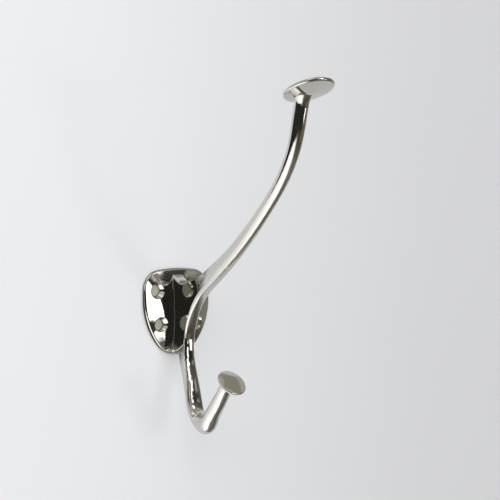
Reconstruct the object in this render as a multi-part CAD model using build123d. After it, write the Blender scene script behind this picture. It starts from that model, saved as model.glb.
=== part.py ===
from build123d import *
import os
from math import cos, radians, sin, sqrt, tan

# A hat and coat hook, cast in one piece: a wall plate, a web that stands out from it, an upper arm
# with a hat disc and a lower hook with a knob. The back of the plate lies on the plane Y = 0, the
# hook stands out towards -Y, Z is up and X = 0 is the plane of symmetry. Millimetres and degrees.
# Side-view points are given as (out from the wall, up).

# How far the hat disc's rim stands out from the wall
projection = 98.9

# Wall plate
plate_height = 40.0
plate_width = 37.3
plate_widest_up = 6.0
plate_bottom_radius = 14.3
plate_corner_radius = 9.0
plate_top_radius = 80.0
plate_edge = 1.7
plate_crown = 1.4
plate_lip = 1.0

# Screw holes, in two pairs
bore = 5.0
countersink = 7.2
countersink_angle = 90.0
top_holes_apart = 24.4
top_holes_up = 10.1
bottom_holes_apart = 20.8
bottom_holes_up = -5.6
cut_past = 1.0

# Web between the plate and the bar
web_thickness = 6.2
web_edge = 0.9
web_foot_edge = 1.6
web_valley_out = 7.8
web_valley_up = 13.05
web_valley_radius = 6.0
web_plate_slope = 33.0
web_sunk = 1.0
web_crease = 0.6

# Bar that runs from the hat disc, down the front of the web, to the knob. Along the web it is a
# little narrower than the web, and its strip stands in front of the web.
bar_inset = 0.08
strip = 1.0
root_width = 6.4

# Upper arm
root_out = 25.6
root_up = 16.1
root_angle = 33.3
root_depth = 7.8
shank_turn = 17.0
tip_radius = 60.0
tip_turn = 33.0
arm_waist = 5.6
arm_neck = 6.2

# Hat disc
hat_diameter = 21.6
hat_rim = 1.8
hat_cone = 1.4
hat_dome = 0.8
hat_tilt = 20.0
hat_gap = 5.3
hat_shift = 4.7
hat_flare = 10.5

# Sweep down the front of the web
sweep_radius = 38.6
sweep_turn = 63.0
sweep_depth = 5.6

# Lower hook
limb_front_lean = 12.0
limb_back_lean = 18.0
crotch_radius = 4.6
toe_lean = 53.0
toe_cut = 13.0
toe_radius = 12.0
heel_radius = 4.0
hook_width = 8.8

# Stem and knob
seat_out = 37.2
seat_up = -30.6
stem_angle = 54.5
stem_length = 20.0
stem_foot_depth = 6.6
stem_depth = 5.7
stem_width = 7.2
knob_diameter = 13.6
knob_rim = 1.0
knob_cone = 1.8
knob_dome = 0.5
knob_angle = 47.0
knob_gap = 3.0
knob_shift = 1.6
knob_flare = 8.4

# Roundness of the bar's sections, from 0 for a square one to 1 for an oval, at places along it, and
# the places where the arm is thinnest and where the sweep has its full depth
root_roundness = 0.45
strip_roundness = 0.1
limb_roundness = 0.7
waist_place = 0.62
settle_place = 0.66

# Places of the bar's sections, as shares of each run
flare_places = (1.0, 0.7, 0.35)
arm_places = (1.0, 0.85, 0.68, 0.5, 0.33, 0.16, 0.0)
sweep_places = (0.25, 0.5, 0.75, 1.0)
knob_places = (0.55, 1.0)

# Handles of the curves round a section, as shares of its half sides, for a square one and an oval
square_handle = 1.0
oval_handle = 0.5523


def heading(angle):
    """Unit step in the side view, turned up from straight out by an angle."""
    return Vector(cos(radians(angle)), sin(radians(angle)))


def left_of(step):
    """Step in the side view turned up by a quarter turn."""
    return Vector(-step.Y, step.X)


def drop(lean):
    """Unit step down in the side view, leaning out by an angle."""
    return Vector(sin(radians(lean)), -cos(radians(lean)))


def side(point):
    """Place in the part's frame of a side-view point."""
    return Vector(0, -point.X, point.Y)


def meet(start, step, other_start, other_step):
    """Point where two side-view lines cross."""
    gap = other_start - start
    turn = step.X * other_step.Y - step.Y * other_step.X
    return start + step * ((gap.X * other_step.Y - gap.Y * other_step.X) / turn)


def blend(low, high, share):
    """Value between low and high."""
    return low + (high - low) * share


def section(front, back, width, roundness):
    """Section of the bar, from a front point to a back point of the side view: four smooth quarters."""
    across = side(front) - side(back)
    middle = (side(front) + side(back)) * 0.5
    plane = Plane(origin=middle, x_dir=(1, 0, 0), z_dir=Vector(1, 0, 0).cross(across))
    handle = blend(square_handle, oval_handle, roundness)
    quarters = []
    for right, up in ((1, 1), (1, -1), (-1, -1), (-1, 1)):
        x = right * width / 2
        y = up * across.length / 2
        points = [(0, y), (handle * x, y), (x, handle * y), (x, 0)]
        quarters.append(Bezier(points if right == up else points[::-1]))
    return plane * make_face(quarters)


def square_section(centre, step, width, depth, roundness):
    """Section square to the bar's own line, which runs along step."""
    half = left_of(step) * (depth / 2)
    return section(centre - half, centre + half, width, roundness)


def turned_disc(diameter, rim, cone, dome):
    """Disc about Z with a coned underside, a round rim whose underside is at Z = 0 and a domed top."""
    inner = diameter / 2 - rim / 2
    apex = (0, -cone)
    low = (inner, 0)
    high = (inner, rim)
    outline = [
        Line(apex, low),
        ThreePointArc(low, (diameter / 2, rim / 2), high),
        Polyline(high, (inner, rim + dome), (0, rim + dome), apex),
    ]
    blank = revolve(Plane.XZ * make_face(outline), Axis.Z)
    dome_radius = (inner**2 + dome**2) / (2 * dome)
    ball = Plane.XZ * Sphere(dome_radius)
    return blank & (Pos(0, 0, rim + dome - dome_radius) * ball)


# The arm's own line, from its root up to the hat disc. The hat disc's rim stands out from the line's
# end by hat_reach, and the shank's radius makes up the rest of the projection.
shank_angle = root_angle + shank_turn
tip_angle = shank_angle + tip_turn
hat_up = left_of(heading(hat_tilt))
hat_out = heading(hat_tilt)
hat_reach = heading(tip_angle).X * hat_gap + hat_out.X * (hat_shift + (hat_diameter - hat_rim) / 2)
rim_reach = (1 + hat_up.X) * hat_rim / 2
tip_reach = tip_radius * (heading(tip_angle).Y - heading(shank_angle).Y)
shank_reach = projection - root_out - tip_reach - hat_reach - rim_reach
shank_radius = shank_reach / (heading(shank_angle).Y - heading(root_angle).Y)
root = Vector(root_out, root_up)
shank = JernArc(root, heading(root_angle), shank_radius, shank_turn)
tip = JernArc(shank @ 1, shank % 1, tip_radius, tip_turn)

# The sweep's line, from the root down the front of the web
sweep = JernArc(root, heading(root_angle + 180), sweep_radius, sweep_turn)
limb_start = sweep @ 1
limb_half = left_of(sweep % 1) * (sweep_depth / 2)

# The hat disc's place: square to hat_up, moved outwards from where the arm's line meets it
hat_seat = (tip @ 1) + heading(tip_angle) * hat_gap
hat_centre = hat_seat + hat_out * hat_shift

# The stem's line, up to the knob, and its upper and lower edges
stem_step = heading(stem_angle)
stem_normal = left_of(stem_step)
seat = Vector(seat_out, seat_up)
foot = seat - stem_step * stem_length
upper_seat = seat + stem_normal * (stem_depth / 2)
lower_seat = seat - stem_normal * (stem_depth / 2)
upper_step = upper_seat - (foot + stem_normal * (stem_foot_depth / 2))
lower_step = lower_seat - (foot - stem_normal * (stem_foot_depth / 2))

# The knob's place, turned down from the stem's line
knob_up = heading(knob_angle)
knob_out = left_of(knob_up) * -1
knob_seat = seat + stem_step * knob_gap
knob_centre = knob_seat + knob_out * knob_shift

# The lower hook's front line (limb, crotch, stem) and back line (limb, toe, heel, stem)
front_start = limb_start + limb_half
front_corner = meet(front_start, drop(limb_front_lean), upper_seat, upper_step)
front_line = FilletPolyline(front_start, front_corner, upper_seat, radius=crotch_radius)
front_limb, crotch, front_stem = front_line.edges().sort_by(front_line)

back_start = limb_start - limb_half
back_step = drop(limb_back_lean)
back_corner = meet(back_start, back_step, lower_seat, lower_step)
toe_corner = back_corner - back_step * toe_cut
heel_corner = meet(toe_corner, drop(toe_lean), lower_seat, lower_step)
back_points = [back_start, toe_corner, heel_corner, lower_seat]
back_line = FilletPolyline(back_points, radius=[toe_radius, heel_radius])
back_limb, toe, sole, heel, back_stem = back_line.edges().sort_by(back_line)


def flare_sections():
    """The arm's end, which widens and turns square to the hat disc."""
    sections = []
    sunk_seat = hat_seat + hat_out * (hat_shift / 4) + hat_up * (hat_rim / 3)
    for share in flare_places:
        centre = (tip @ 1) + (sunk_seat - (tip @ 1)) * share
        width = blend(arm_neck, hat_flare, share**4)
        step = (heading(tip_angle) * (1 - share**2) + hat_up * share**2).normalized()
        sections.append(square_section(centre, step, width, width, 1.0))
    return sections


def arm_sections():
    """The arm, from its neck down to its root: round, then deeper and squarer towards the web."""
    sections = []
    shank_share = shank.length / (shank.length + tip.length)
    for share in arm_places:
        if share > shank_share:
            place = (share - shank_share) / (1 - shank_share)
            centre, step = tip @ place, tip % place
        else:
            centre, step = shank @ (share / shank_share), shank % (share / shank_share)
        taper = max(0.0, 1 - share / waist_place) ** 1.5
        swell = max(0.0, (share - waist_place) / (1 - waist_place)) ** 2
        depth = blend(arm_waist, root_depth, taper) + (arm_neck - arm_waist) * swell
        width = blend(arm_waist, root_width, taper) + (arm_neck - arm_waist) * swell
        roundness = blend(1.0, root_roundness, taper)
        sections.append(square_section(centre, step, width, depth, roundness))
    return sections


def sweep_sections():
    """The bar's run down the front of the web."""
    sections = []
    width = web_thickness - 2 * bar_inset
    for share in sweep_places:
        settled = min(1.0, share / settle_place)
        depth = blend(root_depth, sweep_depth, settled)
        roundness = blend(root_roundness, strip_roundness, settled)
        sections.append(square_section(sweep @ share, (sweep % share) * -1, width, depth, roundness))
    return sections


def hook_sections():
    """The lower hook, between its front and back lines."""
    stations = [
        (front_limb @ 0.35, back_limb @ 0.33, blend(web_thickness, hook_width, 0.55), limb_roundness),
        (front_limb @ 0.75, back_limb @ 0.7, blend(web_thickness, hook_width, 0.9), limb_roundness),
        (crotch @ 0.05, toe @ 0.1, hook_width, limb_roundness),
        (crotch @ 0.25, toe @ 0.8, hook_width, 1.0),
        (crotch @ 0.5, heel @ 0.25, hook_width, 1.0),
        (crotch @ 0.75, heel @ 0.85, hook_width, 1.0),
        (front_stem @ 0.05, back_stem @ 0.2, blend(hook_width, stem_width, 0.4), 1.0),
        (front_stem @ 0.5, back_stem @ 0.6, stem_width, 1.0),
        (front_stem @ 1, back_stem @ 1, stem_width, 1.0),
    ]
    return [section(*station) for station in stations]


def knob_sections():
    """The stem's end, which widens and turns square to the knob."""
    sections = []
    for share in knob_places:
        width = blend(stem_width, knob_flare, share**2)
        depth = blend(stem_depth, knob_flare, share**2)
        centre = seat + stem_step * (knob_gap * share)
        step = heading(blend(stem_angle, knob_angle, share)) * -1
        sections.append(square_section(centre, step, width, depth, 1.0))
    return sections


# The ball that crowns the plate's face
crown_radius = ((plate_width / 2) ** 2 + plate_crown**2) / (2 * plate_crown)


def make_plate():
    """Shield-shaped plate: tangent arcs round the outline, a crowned face and a rounded front edge."""
    half = plate_width / 2
    bottom = Vector(0, plate_bottom_radius - plate_height / 2)
    rise = plate_widest_up - bottom.Y
    side_radius = (half**2 + rise**2 - plate_bottom_radius**2) / (2 * (half - plate_bottom_radius))
    side_centre = Vector(half - side_radius, plate_widest_up)
    heel_point = bottom + (bottom - side_centre).normalized() * plate_bottom_radius
    top = Vector(0, plate_height / 2 - plate_top_radius)
    corner_x = half - plate_corner_radius
    corner_z = top.Y + sqrt((plate_top_radius - plate_corner_radius) ** 2 - corner_x**2)
    corner = Vector(corner_x, corner_z)
    shoulder_point = corner + (corner - top).normalized() * plate_corner_radius
    widest = Vector(half, plate_widest_up)
    corner_foot = Vector(half, corner_z)
    right = [
        RadiusArc((0, -plate_height / 2), heel_point, -plate_bottom_radius),
        RadiusArc(heel_point, widest, -side_radius),
        Line(widest, corner_foot),
        RadiusArc(corner_foot, shoulder_point, -plate_corner_radius),
        RadiusArc(shoulder_point, (0, plate_height / 2), -plate_top_radius),
    ]
    outline = right + [mirror(run, about=Plane.YZ) for run in right]
    blank = extrude(Plane.XZ * make_face(outline), plate_edge + 2 * plate_crown, dir=(0, -1, 0))
    crown_ball = Pos(0, crown_radius - plate_edge - plate_crown, 0) * Sphere(crown_radius)
    plate = blank & crown_ball
    rim = plate.faces().sort_by(Axis.Y)[0].edges()
    return fillet(rim, plate_lip)


def face_out(across, up):
    """How far the plate's crowned face stands out from the wall."""
    return plate_edge + plate_crown - crown_radius + sqrt(crown_radius**2 - across**2 - up**2)


def screw_hole(across, up):
    """Bore with a countersink that opens at the plate's face."""
    face = face_out(across, up)
    slope = tan(radians(countersink_angle / 2))
    deep = (countersink - bore) / 2 / slope
    cone = Cone(bore / 2, countersink / 2 + cut_past * slope, deep + cut_past)
    tool = Plane.XZ * Pos(across, up, face + (cut_past - deep) / 2) * cone
    through = Plane.XZ * Pos(across, up, face / 2) * Cylinder(bore / 2, face + 2 * cut_past)
    return tool + through


def is_crease(edge):
    """Whether an edge of the plate and web lies where a side of the web stands on the plate's face."""
    middle = edge @ 0.5
    on_side = abs(abs(middle.X) - web_thickness / 2) < web_crease / 10
    on_face = abs(middle.Y + face_out(middle.X, middle.Z)) < web_crease / 10
    return on_side and on_face


def side_rims(web, line):
    """Edges of the web along both sides of its narrow faces that follow a side-view line."""
    middles = [side(run @ 0.5) for run in line.edges()]
    faces = [face for face in web.faces() if min((face.center() - m).length for m in middles) < web_edge]
    return [edge for face in faces for edge in face.edges() if abs((edge @ 0.5).X) > web_edge]


def make_web():
    """Flat web behind the bar's strip, with a round-edged top that dips between plate and arm."""
    root_front = drop(root_angle)
    root_back = root - root_front * (root_depth / 2 - web_edge)
    valley = Vector(web_valley_out, web_valley_up)
    plate_run = (web_valley_out - web_sunk) / cos(radians(web_plate_slope))
    plate_end = valley + heading(180 - web_plate_slope) * plate_run
    top_line = FilletPolyline(root_back, valley, plate_end, radius=web_valley_radius)
    shift = sweep_depth / 2 - strip
    front_start = root + root_front * shift
    front_line = JernArc(front_start, heading(root_angle + 180), sweep_radius - shift, sweep_turn)
    foot_line = Line(front_line @ 1, Vector(web_sunk, web_sunk - plate_height / 2))
    outline = [
        *top_line.edges(),
        Line(root_back, front_line @ 0),
        front_line,
        foot_line,
        Line(foot_line @ 1, plate_end),
    ]
    view = Plane(origin=(0, 0, 0), x_dir=(0, -1, 0), z_dir=(-1, 0, 0))
    web = extrude(view * make_face(outline), web_thickness / 2, both=True)
    web = fillet(side_rims(web, top_line), web_edge)
    return fillet(side_rims(web, foot_line), web_foot_edge)


bar = loft(flare_sections() + arm_sections() + sweep_sections() + hook_sections() + knob_sections())
hat_plane = Plane(origin=side(hat_centre), x_dir=(1, 0, 0), z_dir=side(hat_up))
knob_plane = Plane(origin=side(knob_centre), x_dir=(1, 0, 0), z_dir=side(knob_up))
hat = hat_plane * turned_disc(hat_diameter, hat_rim, hat_cone, hat_dome)
knob = knob_plane * turned_disc(knob_diameter, knob_rim, knob_cone, knob_dome)
body = make_plate() + make_web()
body = fillet([edge for edge in body.edges() if is_crease(edge)], web_crease)
casting = body + bar + hat + knob
for apart, up in ((top_holes_apart, top_holes_up), (bottom_holes_apart, bottom_holes_up)):
    for sign in (-1, 1):
        casting = casting - screw_hole(sign * apart / 2, up)

os.makedirs("parts", exist_ok=True)
export_step(casting, "parts/hook_casting.step")
print("solids", len(casting.solids()), "volume", casting.volume, casting.bounding_box())
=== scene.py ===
# %% [markdown]
# # A polished hat and coat hook
# The hook is one casting: a plate that is screwed to a wall, a web that stands out from it, a long
# arm with a disc for hats and a short hook with a knob for coats. The casting is plated with nickel
# and polished like a mirror, so nearly all that the eye sees on it is the room around it. This
# lesson therefore spends as much care on the room as on the metal.

# %% [markdown]
# ## Load the casting
# The shape comes from the construction model and is right as it stands: every bar, fillet and screw
# hole is in it. It keeps its mesh and its place, and only gets a better finish. One unit is a metre.

# %% Load the frame
from math import cos, radians, sin

import bpy
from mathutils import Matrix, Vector

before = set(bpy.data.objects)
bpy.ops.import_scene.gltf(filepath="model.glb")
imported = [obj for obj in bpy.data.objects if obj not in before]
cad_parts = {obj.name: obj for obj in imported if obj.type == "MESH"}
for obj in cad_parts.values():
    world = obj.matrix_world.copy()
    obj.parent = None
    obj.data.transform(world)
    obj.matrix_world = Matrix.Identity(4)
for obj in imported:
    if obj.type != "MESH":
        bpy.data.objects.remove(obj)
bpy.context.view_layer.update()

scene = bpy.context.scene
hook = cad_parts["hook_casting"]
print("The casting has", len(hook.data.polygons), "faces and", len(hook.data.vertices), "points")

# %% [markdown]
# ## Write shaders as sums
# A procedural material is a chain of small steps, and each step is a node. Adding nodes by hand
# hides the sum that they make. The class below holds one output socket. Adding, taking away or
# multiplying makes the Math node for that step, so the sums can be read as sums. One function adds
# any other node: its settings go first, because they can change which inputs it has, and then its
# values and links.


# %% Write node trees as arithmetic
class Wire:
    """One output socket of a node tree, which can be used in sums."""

    def __init__(self, tree, socket):
        self.tree = tree
        self.socket = socket

    def node(self, kind, settings, inputs, output=0):
        """New node: its settings first, then its inputs by place or name. Gives one output."""
        return add_node(self.tree, kind, settings, inputs, output)

    def maths(self, operation, *inputs):
        return self.node("ShaderNodeMath", {"operation": operation}, inputs)

    def __add__(self, other):
        return self.maths("ADD", self, other)

    def __sub__(self, other):
        return self.maths("SUBTRACT", self, other)

    def __rsub__(self, other):
        return self.maths("SUBTRACT", other, self)

    def __mul__(self, other):
        return self.maths("MULTIPLY", self, other)

    def __truediv__(self, other):
        return self.maths("DIVIDE", self, other)

    def __abs__(self):
        return self.maths("ABSOLUTE", self)

    __radd__ = __add__
    __rmul__ = __mul__

    def larger(self, other):
        return self.maths("MAXIMUM", self, other)

    def fade(self, start, end):
        """0 before start, 1 after end and a smooth step between them."""
        settings = {"interpolation_type": "SMOOTHSTEP"}
        inputs = {"Value": self, "From Min": start, "From Max": end}
        return self.node("ShaderNodeMapRange", settings, inputs)

    def mix(self, low, high):
        """A colour between low, where this is 0, and high, where it is 1."""
        settings = {"data_type": "RGBA"}
        return self.node("ShaderNodeMix", settings, {0: self, 6: low, 7: high}, 2)


def add_node(tree, kind, settings, inputs, output=0):
    """New node in a tree: its settings first, then its inputs by place or name. Gives one output."""
    node = tree.nodes.new(kind)
    for name, value in settings.items():
        setattr(node, name, value)
    pairs = inputs.items() if isinstance(inputs, dict) else enumerate(inputs)
    for key, value in pairs:
        if isinstance(value, Wire):
            tree.links.new(value.socket, node.inputs[key])
        else:
            node.inputs[key].default_value = value
    if node.outputs:
        return Wire(tree, node.outputs[output])


def new_material(name):
    """Empty material and its tree."""
    material = bpy.data.materials.new(name)
    material.use_nodes = True
    material.node_tree.nodes.clear()
    return material, material.node_tree


# %% [markdown]
# ## Nickel
# Nickel is a little yellower and darker than chrome. A metal's Base Color is the tint that it gives
# to everything it mirrors, so the shader is all metal with a warm grey tint. Three things keep it
# from looking like a perfect mirror made by a computer. Hand polishing leaves waves a few
# millimetres long: they are too low to see, but they make straight edges waver in the mirror. It
# leaves patches that are a little duller. And a cast skin keeps tiny pits, which show as dull
# specks. In corners the tint is darker: that is painted shade, found with Ambient Occlusion.

# %% Tints and textures of the nickel
nickel_dull = (0.69, 0.672, 0.625, 1)
nickel_bright = (0.73, 0.72, 0.68, 1)
# The darker corner tint is painted shade.
nickel_corner_shade = (0.58, 0.555, 0.50, 1)
nickel_pit = (0.42, 0.40, 0.36, 1)
patch_scale, wave_scale, grain_scale = 90.0, 210.0, 1400.0
wave_strength, wave_depth = 0.025, 0.0012
corner_shade_reach = 0.003
smooth, patch_roughness, pit_roughness = 0.035, 0.05, 0.10


# %% Polished nickel
def make_nickel():
    """Warm, mirror-polished nickel with polishing waves, dull patches, pits and painted corner shade."""
    material, tree = new_material("polished_nickel")
    place = add_node(tree, "ShaderNodeTexCoord", {}, {}, "Object")
    patches = place.node("ShaderNodeTexNoise", {}, {"Vector": place, "Scale": patch_scale, "Detail": 2.0})
    waves = place.node("ShaderNodeTexNoise", {}, {"Vector": place, "Scale": wave_scale, "Detail": 1.0})
    grains = place.node("ShaderNodeTexNoise", {}, {"Vector": place, "Scale": grain_scale, "Detail": 1.0})
    pits = grains.fade(0.68, 0.78)
    corner = place.node("ShaderNodeAmbientOcclusion", {"samples": 8, "only_local": True},
                        {"Distance": corner_shade_reach}, "AO")
    tint = patches.mix(nickel_dull, nickel_bright)
    # Painted shade: the tint grows darker in corners that Ambient Occlusion finds.
    tint = corner.fade(0.3, 0.7).mix(nickel_corner_shade, tint)
    tint = (pits * 0.35).mix(tint, nickel_pit)
    bump = place.node("ShaderNodeBump", {}, {
        "Strength": wave_strength,
        "Distance": wave_depth,
        "Height": waves,
    })
    shader = place.node("ShaderNodeBsdfPrincipled", {}, {
        "Base Color": tint,
        "Metallic": 1.0,
        "Roughness": smooth + patches * patch_roughness + pits * pit_roughness,
        "Normal": bump,
    })
    shader.node("ShaderNodeOutputMaterial", {}, {"Surface": shader})
    return material


hook.data.materials.clear()
hook.data.materials.append(make_nickel())
print("The casting wears", hook.data.materials[0].name)

# %% [markdown]
# ## The wall
# The hook hangs on a pale wall. The wall is a real plane just behind the plate, painted in a matt
# white, so it takes the hook's soft shadows. Part of its brightness is its own: where a camera ray
# or a mirrored ray meets it, some of the paint is swapped for a glow, which is paler on the left and
# greyer on the right. That lifts the background without stronger lamps. The wall ends on the left,
# just outside the picture, because the arm mirrors the room beside it. From behind, the wall is
# clear, so that the back of the plate can be seen.

# %% Sizes and colours of the wall
wall_gap = 0.0004
wall_left, wall_right = -0.107, 0.3
wall_low, wall_high = -0.6, 1.2
wall_white = (0.79, 0.80, 0.82, 1)
wall_whiter = (0.81, 0.82, 0.84, 1)
glow_left = (1.08, 1.095, 1.14, 1)
glow_right = (0.74, 0.745, 0.76, 1)
plain_grey = (0.78, 0.785, 0.80, 1)
glow_start, glow_end = -0.14, 0.22

# %% [markdown]
# The Light Path node tells what kind of ray has met a surface. The share of the glow depends on it:
# camera rays get half of it and mirrored rays a third. Mirrored rays get more low on the left, on a
# stretch of wall that the lower half of the bar mirrors, and none far on the right.

# %% Shares of the glow
camera_share = 0.5
mirror_share = 0.34
low_left_share = 0.5
right_start, right_end = 0.0, 0.10
left_start, left_end = -0.035, -0.055
low_start, low_end = 0.018, 0.0


# %% Kinds of rays
def ray_kinds(place):
    """Two masks: 1 for rays from the camera, and 1 for mirrored or refracted rays."""
    camera, mirror, glass = [place.node("ShaderNodeLightPath", {}, {}, "Is " + kind + " Ray")
                             for kind in ("Camera", "Glossy", "Transmission")]
    return camera, mirror.larger(glass)


# %% [markdown]
# Three kinds of shade lie on the wall. A faint one follows the plate's edge, where the plate keeps
# light away: Ambient Occlusion finds it, and it also tells where the plate covers the wall. The
# second is a trick. In the photograph the plate's round rim is dark, and it mirrors the few
# millimetres of wall beside it, so these are painted dark for mirrored rays only. The third is the
# wall behind the plate, which shows only in the screw holes: it is olive grey, as in the photograph.

# %% Sizes and colours of the shades
plate_middle = (0.0, 0.0, 0.002)
hidden_radius = 0.0175
rim_shade_start, rim_shade_end = 0.020, 0.029
contact_reach = 0.012
contact_paint = (0.5, 0.5, 0.5, 1)
contact_glow = (0.6, 0.6, 0.6, 1)
rim_shade = (0.06, 0.058, 0.055, 1)
hole_shade = (0.46, 0.45, 0.335, 1)


# %% Find the shades
def wall_shades(place, mirror):
    """Masks: open away from the plate's edge, bare of the plate, beside the rim, in the holes."""
    contact = place.node("ShaderNodeAmbientOcclusion", {"samples": 8}, {"Distance": contact_reach}, "AO")
    bare = contact.fade(0.02, 0.08)
    away = place.node("ShaderNodeVectorMath", {"operation": "DISTANCE"}, [place, plate_middle], "Value")
    beside_rim = mirror * bare * (1 - away.fade(rim_shade_start, rim_shade_end))
    in_holes = bare * (1 - away.fade(hidden_radius - 0.001, hidden_radius))
    return contact.fade(0.2, 0.9), bare, beside_rim, in_holes


# %% Wall paint
def make_wall_paint():
    """Matt white paint, shaded near the plate, with a pale glow for the camera and for mirrors."""
    material, tree = new_material("wall_paint")
    place = add_node(tree, "ShaderNodeTexCoord", {}, {}, "Object")
    across, up = [place.node("ShaderNodeSeparateXYZ", {}, [place], axis) for axis in ("X", "Z")]
    camera, mirror = ray_kinds(place)
    clear_of_edge, bare, beside_rim, in_holes = wall_shades(place, mirror)
    mottle = place.node("ShaderNodeTexNoise", {}, {"Vector": place, "Scale": 14.0, "Detail": 3.0})
    colour = clear_of_edge.mix(contact_paint, mottle.mix(wall_white, wall_whiter))
    paint = place.node("ShaderNodeBsdfPrincipled", {}, {
        "Base Color": beside_rim.mix(colour, rim_shade),
        "Roughness": 1.0,
        "Specular IOR Level": 0.0,
    })
    shine = across.fade(glow_start, glow_end).mix(glow_left, glow_right)
    shine = beside_rim.mix(clear_of_edge.mix(contact_glow, shine), rim_shade)
    shine = bare.mix(plain_grey, in_holes.mix(shine, hole_shade))
    glow = place.node("ShaderNodeEmission", {}, {"Color": shine, "Strength": 1.0})
    low_left = across.fade(left_start, left_end) * up.fade(low_start, low_end)
    far_right = across.fade(right_start, right_end)
    mirrored = mirror * (mirror_share + low_left * low_left_share - far_right * mirror_share)
    share = mirrored.larger(mirror * (1 - bare)).larger(camera * camera_share)
    front = place.node("ShaderNodeMixShader", {}, [share, paint, glow])
    clear = place.node("ShaderNodeBsdfTransparent", {}, {})
    from_behind = place.node("ShaderNodeNewGeometry", {}, {}, "Backfacing")
    shader = place.node("ShaderNodeMixShader", {}, [from_behind, front, clear])
    shader.node("ShaderNodeOutputMaterial", {}, {"Surface": shader})
    return material


# %% Build the wall
def make_wall():
    """One face in front of which the hook hangs."""
    mesh = bpy.data.meshes.new("wall")
    corners = [(x, wall_gap, z) for x, z in (
        (wall_left, wall_low), (wall_right, wall_low), (wall_right, wall_high), (wall_left, wall_high))]
    mesh.from_pydata(corners, [], [(0, 1, 2, 3)])
    mesh.materials.append(make_wall_paint())
    wall = bpy.data.objects.new("wall", mesh)
    scene.collection.objects.link(wall)
    return wall


print("Wall:", make_wall().name)

# %% [markdown]
# ## Two lamps
# The photograph shows two shadows on the wall, one of the arm and one of the lower hook. A small lamp,
# low on the right where the windows are, throws both of them to the left. A large soft lamp above on
# the left gives the wall most of its light and hardly any shadow. Mirrors don't show the lamps: what
# the metal mirrors is the room of the next steps.


# %% Lamp
def make_lamp(name, azimuth, elevation, distance, width, height, power):
    """Soft rectangular lamp that looks at the hook, from an azimuth measured from straight ahead."""
    data = bpy.data.lights.new(name, "AREA")
    data.shape = "RECTANGLE"
    data.size = width
    data.size_y = height
    data.energy = power
    lamp = bpy.data.objects.new(name, data)
    turn, rise = radians(azimuth), radians(elevation)
    towards = Vector((sin(turn) * cos(rise), -cos(turn) * cos(rise), sin(rise)))
    lamp.location = towards * distance
    lamp.rotation_mode = "QUATERNION"
    lamp.rotation_quaternion = (-towards).to_track_quat("-Z", "Y")
    lamp.visible_glossy = False
    scene.collection.objects.link(lamp)
    return lamp


ceiling_lamp = make_lamp("ceiling_lamp", azimuth=-48, elevation=42, distance=1.1,
                         width=1.0, height=0.8, power=6.4)
window_lamp = make_lamp("window_lamp", azimuth=31, elevation=3, distance=1.1,
                        width=0.14, height=0.18, power=1.1)
for lamp in (ceiling_lamp, window_lamp):
    print(lamp.name, "at", [round(part, 2) for part in lamp.location])

# %% [markdown]
# ## The room in the mirror
# In the photograph the metal mirrors a white table at the lower left, which grows dark towards the
# right, a dark room above the table's edge, paler light higher up, and windows: two are mirrored in
# the plate and tall ones run down the front of the hook. All of it is far away, so it can be painted
# on the world by direction alone: turn is the angle to the right of straight ahead from the wall,
# height the angle above level, both in degrees. A patch is a rectangle of directions with soft
# edges. Camera rays that miss the wall see plain grey in place of the room.


# %% Patches of directions
def patch(turn, height, azimuth, elevation, wide, tall, blur):
    """1 inside a rectangle of directions, 0 outside it, with a soft edge."""
    sideways = 1 - abs(turn - azimuth).fade(wide / 2 - blur, wide / 2 + blur)
    upright = 1 - abs(height - elevation).fade(tall / 2 - blur, tall / 2 + blur)
    return sideways * upright


# %% Places of the patches: azimuth, elevation, width, height and blur
ceiling_panel = (-37, 60, 46, 36, 6)
front_wall = (-5, 13, 18, 12, 3)
high_window = (22, 27, 17, 15, 2)
front_window = (10, 12.5, 20, 9, 1)
narrow_window = (24.5, 11.5, 9, 3, 0.7)
plate_window = (24, 0.4, 13, 16, 0.7)
second_window = (40, -10.5, 9, 13, 1)
low_window = (27.8, -14.3, 6, 2.6, 0.6)
right_strip = (47.5, 8.6, 9, 3.2, 0.8)
right_corner = (57, -4, 16, 14, 3)
knob_corner = (77, 51, 36, 17, 2)
wood_strip = (31, -21, 20, 8.4, 0.8)


# %% Colours of the room
dark = (0.026, 0.025, 0.024, 1)
dim = (0.14, 0.135, 0.125, 1)
soft = (0.36, 0.35, 0.325, 1)
pale = (0.62, 0.61, 0.58, 1)
brown = (0.085, 0.07, 0.052, 1)
wood = (0.18, 0.143, 0.095, 1)
grey = (0.22, 0.21, 0.185, 1)
warm_dark = (0.10, 0.093, 0.08, 1)
warm_grey = (0.46, 0.445, 0.40, 1)
wing_shade = (0.24, 0.23, 0.20, 1)
knob_shade = (0.29, 0.28, 0.22, 1)
white = (1.55, 1.56, 1.57, 1)
off_white = (1.15, 1.14, 1.10, 1)
panel = (1.0, 0.98, 0.94, 1)
window = (2.5, 2.5, 2.5, 1)

# %% [markdown]
# Between the patches, the room changes slowly. Each fade below has a start and an end in degrees. The
# paler left part has a slanted lower edge, because the dark horizon rises towards the front, and so
# has the lit part of the table.

# %% Fades of the room
front_rise = (6, 18)
upper_rise = (20, 45)
left_turn, left_rise, left_slant = (-15, -40), (2, 7), (0, 5)
slant_start, slant = 80, 0.3
side_turn = (42, 52)
side_pale = (55, 120)
side_rise = (25, 40)
shade_drop = (-25, -55)
lit_turn, lit_slope, lit_height = (-52, -20), 0.6, 30
off_white_turn = (-75, -105)
straight_below = (-70, -84)
edge_turn, edge_drop = (-120, -50), 7
table_edge = (-10, -16)
cut_slope, cut_start, cut_end = 1.5, 36, 39


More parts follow.
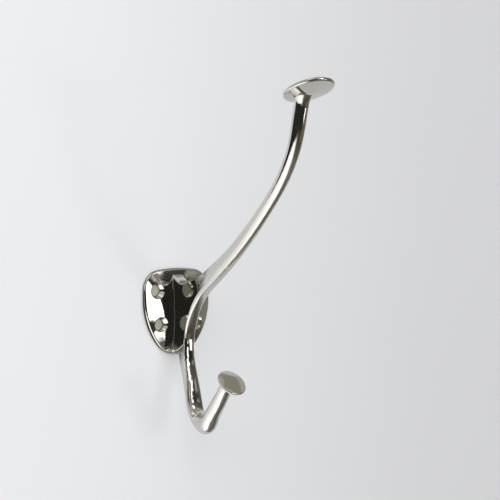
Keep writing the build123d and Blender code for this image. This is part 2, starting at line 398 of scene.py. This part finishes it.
# %% Above the table's edge
def upper_room(turn, height):
    """Dark room in front, paler to the left and higher up, with a ceiling panel and tall windows."""
    front = height.fade(*front_rise).mix(dark, dim)
    above_slant = (height - (turn + slant_start) * slant).fade(*left_slant)
    left = turn.fade(*left_turn) * height.fade(*left_rise) * above_slant
    upper = height.fade(*upper_rise).mix(left.mix(front, pale), soft)
    upper = patch(turn, height, *ceiling_panel).mix(upper, panel)
    upper = patch(turn, height, *front_wall).mix(upper, soft)
    for place in (high_window, front_window, narrow_window):
        upper = patch(turn, height, *place).mix(upper, window)
    return upper


# %% Right side of the room
def right_side(turn, height):
    """Warm grey that grows paler towards the wall, with a darker corner that the knob mirrors."""
    side = turn.fade(*side_pale).mix(warm_dark, warm_grey)
    side = patch(turn, height, *right_corner).mix(side, wing_shade)
    side = height.fade(*side_rise).mix(side, warm_grey)
    return patch(turn, height, *knob_corner).mix(side, knob_shade)


# %% Below the table's edge
def table_top(turn, height, side):
    """White on the left, brown and grey in the shade on the right, pale straight below."""
    shade = turn.fade(*side_turn).mix(height.fade(*shade_drop).mix(brown, grey), side)
    lit = 1 - (turn + (height + lit_height) * lit_slope).fade(*lit_turn)
    table = lit.mix(shade, turn.fade(*off_white_turn).mix(white, off_white))
    return height.fade(*straight_below).mix(table, soft)


# %% Paint the world
def make_room():
    """World: the room by direction for mirrors and light, plain grey for the camera."""
    world = bpy.data.worlds.new("room")
    world.use_nodes = True
    tree = world.node_tree
    tree.nodes.clear()
    way = add_node(tree, "ShaderNodeTexCoord", {}, {}, "Generated")
    across, inward, up = [way.node("ShaderNodeSeparateXYZ", {}, [way], axis) for axis in range(3)]
    height = up.maths("ARCSINE", up) / radians(1)
    turn = across.maths("ARCTAN2", across, inward * -1) / radians(1)
    side = right_side(turn, height)
    room = turn.fade(*side_turn).mix(upper_room(turn, height), side)
    edge = height + turn.fade(*edge_turn) * edge_drop
    room = edge.fade(*table_edge).mix(room, table_top(turn, height, side))
    room = patch(turn, height, *wood_strip).mix(room, wood)
    cut_corner = (turn + height * cut_slope).fade(cut_start, cut_end)
    room = (patch(turn, height, *plate_window) * (1 - cut_corner)).mix(room, window)
    for place in (second_window, low_window):
        room = patch(turn, height, *place).mix(room, window)
    room = patch(turn, height, *right_strip).mix(room, soft)
    seen = way.node("ShaderNodeLightPath", {}, {}, "Is Camera Ray")
    shown = seen.mix(room, plain_grey)
    background = way.node("ShaderNodeBackground", {}, {"Color": shown, "Strength": 1.0})
    background.node("ShaderNodeOutputWorld", {}, {"Surface": background})
    return world


scene.world = make_room()
print("The room is painted with", len(scene.world.node_tree.nodes), "nodes")

# %% [markdown]
# ## The camera
# The photograph was taken from the left and slightly above the hook's middle. The camera's place,
# direction and lens come from lining up the plate, the discs and the bar with it. The picture is
# shown without any film look, so that colours stay as they are written.

# %% Camera
eye = Vector((-0.3175, -0.4179, 0.0467))
gaze = Vector((0.6557, 0.7543, -0.0349))
lens, film_width = 81.36, 36.0
camera = bpy.data.objects.new("camera", bpy.data.cameras.new("camera"))
camera.data.lens = lens
camera.data.sensor_width = film_width
camera.location = eye
camera.rotation_mode = "QUATERNION"
camera.rotation_quaternion = gaze.to_track_quat("-Z", "Y")
scene.collection.objects.link(camera)
scene.camera = camera
scene.view_settings.view_transform = "Standard"
print("The camera is", round(eye.length, 3), "m from the plate's middle")
